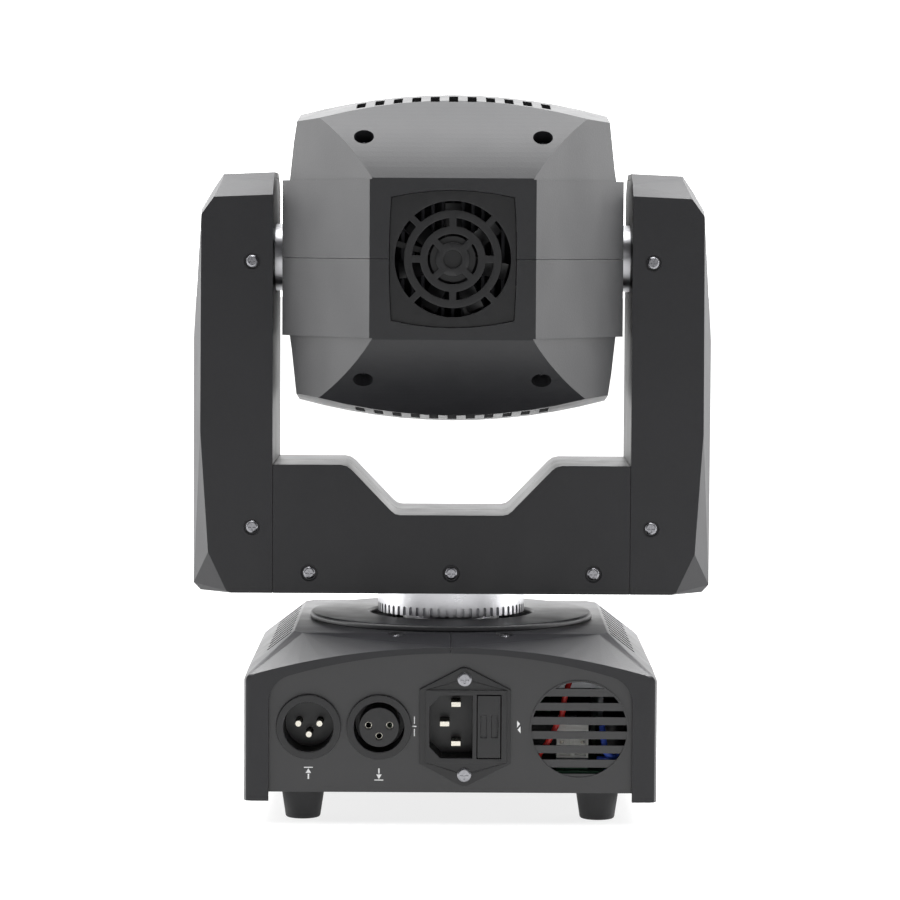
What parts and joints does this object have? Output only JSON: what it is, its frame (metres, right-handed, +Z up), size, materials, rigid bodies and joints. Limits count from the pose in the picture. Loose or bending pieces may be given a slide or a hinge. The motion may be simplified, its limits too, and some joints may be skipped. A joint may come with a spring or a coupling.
{
  "type": "moving head light",
  "caption": "Small moving head light: base with connectors and display, yoke that pans, and a head that tilts with lens, wheels and fan.",
  "frame": {"origin": "on the floor under the pan axis, centre of the base", "axes": "+Z up along the pan axis, +Y to the side that the beam leaves, +X to the right for someone facing the connector panel"},
  "size_m": [0.223, 0.166, 0.308],
  "materials": {
    "head_plastic": "charcoal moulded plastic with a fine texture",
    "cover_plastic": "black moulded plastic with a fine texture",
    "panel_steel": "satin black powder coat",
    "plain_steel": "bare zinc-plated steel",
    "turned_aluminium": "turned aluminium",
    "black_nylon": "black nylon",
    "contact_metal": "tinned brass",
    "foot_rubber": "black rubber",
    "belt_rubber": "black belt rubber",
    "circuit_board": "coated circuit board",
    "clear_window": "tinted clear plastic",
    "lens_glass": "clear glass",
    "button_plastic": "grey plastic",
    "screw_zinc": "zinc-plated screws",
    "filter_glass": "coloured filter wheel",
    "led_white": "light source module"
  },
  "bodies": {
    "base": {"base_plate": "panel_steel", "rear_panel": "panel_steel", "base_cover_left": "cover_plastic", "base_cover_right": "cover_plastic", "front_panel": "cover_plastic", "display_window": "clear_window", "control_board": "circuit_board", "pan_trim_ring": "cover_plastic", "bearing_plate": "plain_steel", "pan_bearing_outer": "plain_steel", "pan_bearing_balls": "plain_steel", "pan_motor": "black_nylon", "pan_belt": "belt_rubber", "power_board": "circuit_board", "signal_in_socket": "black_nylon", "signal_out_socket": "black_nylon", "signal_out_insert": "black_nylon", "contact_pins": "contact_metal", "power_inlet": "black_nylon", "rubber_feet": "foot_rubber", "base_screws": "screw_zinc"},
    "pan_drive": {"pan_motor_pulley": "turned_aluminium"},
    "fuse_tray": {"fuse_drawer": "black_nylon", "fuse_links": "plain_steel"},
    "yoke": {"pan_spindle": "turned_aluminium", "pan_pulley": "turned_aluminium", "yoke_frame": "plain_steel", "crossbar_cover_rear": "cover_plastic", "crossbar_cover_front": "cover_plastic", "arm_cover_left": "cover_plastic", "arm_cover_right": "cover_plastic", "arm_inner_left": "cover_plastic", "arm_inner_right": "cover_plastic", "tilt_bearings": "plain_steel", "tilt_motor": "black_nylon", "tilt_belt": "belt_rubber", "yoke_screws": "screw_zinc"},
    "tilt_drive": {"tilt_motor_pulley": "turned_aluminium"},
    "head": {"head_shell_top": "head_plastic", "head_shell_bottom": "head_plastic", "rear_grille": "black_nylon", "front_bezel": "head_plastic", "front_lens": "lens_glass", "head_chassis": "plain_steel", "tilt_axles": "turned_aluminium", "tilt_pulley": "turned_aluminium", "fan_frame": "black_nylon", "heat_sink": "turned_aluminium", "led_module": "led_white", "wheel_motors": "black_nylon", "head_screws": "screw_zinc"},
    "fan": {"fan_rotor": "black_nylon"},
    "colour_disc": {"colour_wheel": "filter_glass"},
    "gobo_disc": {"gobo_wheel": "turned_aluminium"},
    "focus": {"focus_carriage": "black_nylon", "focus_lens": "lens_glass"},
    "button_1": {"menu_button_1": "button_plastic"},
    "button_2": {"menu_button_2": "button_plastic"},
    "button_3": {"menu_button_3": "button_plastic"},
    "button_4": {"menu_button_4": "button_plastic"}
  },
  "joints": [
    {"name": "pan", "type": "hinge", "parent": "base", "child": "yoke", "pos_m": [0, 0, 0.05], "axis": [0, 0, 1], "range_deg": [-270, 270]},
    {"name": "pan_motor_spin", "type": "hinge", "parent": "base", "child": "pan_drive", "pos_m": [-0.038, 0.04, 0.06], "axis": [0, 0, 1], "range_deg": [-1012.5, 1012.5]},
    {"name": "tilt", "type": "hinge", "parent": "yoke", "child": "head", "pos_m": [0, 0, 0.235], "axis": [1, 0, 0], "range_deg": [-135, 135]},
    {"name": "tilt_motor_spin", "type": "hinge", "parent": "yoke", "child": "tilt_drive", "pos_m": [0.09, 0, 0.121], "axis": [1, 0, 0], "range_deg": [-405, 405]},
    {"name": "fan_spin", "type": "hinge", "parent": "head", "child": "fan", "pos_m": [0, -0.06, 0.235], "axis": [0, 1, 0], "continuous": true},
    {"name": "colour_turn", "type": "hinge", "parent": "head", "child": "colour_disc", "pos_m": [-0.028, 0, 0.235], "axis": [0, 1, 0], "continuous": true},
    {"name": "gobo_turn", "type": "hinge", "parent": "head", "child": "gobo_disc", "pos_m": [0.028, 0, 0.235], "axis": [0, 1, 0], "continuous": true},
    {"name": "focus_slide", "type": "slide", "parent": "head", "child": "focus", "axis": [0, 1, 0], "range_m": [-0.008, 0.012]},
    {"name": "fuse_drawer_slide", "type": "slide", "parent": "base", "child": "fuse_tray", "axis": [0, -1, 0], "range_m": [0, 0.018]},
    {"name": "button_1_press", "type": "slide", "parent": "base", "child": "button_1", "axis": [0, -1, 0], "range_m": [0, 0.001], "stiffness_N_per_m": 400},
    {"name": "button_2_press", "type": "slide", "parent": "base", "child": "button_2", "axis": [0, -1, 0], "range_m": [0, 0.001], "stiffness_N_per_m": 400},
    {"name": "button_3_press", "type": "slide", "parent": "base", "child": "button_3", "axis": [0, -1, 0], "range_m": [0, 0.001], "stiffness_N_per_m": 400},
    {"name": "button_4_press", "type": "slide", "parent": "base", "child": "button_4", "axis": [0, -1, 0], "range_m": [0, 0.001], "stiffness_N_per_m": 400}
  ],
  "couplings": [
    {"joint": "pan_motor_spin", "follows": "pan", "ratio": 3.75},
    {"joint": "tilt_motor_spin", "follows": "tilt", "ratio": 3}
  ]
}
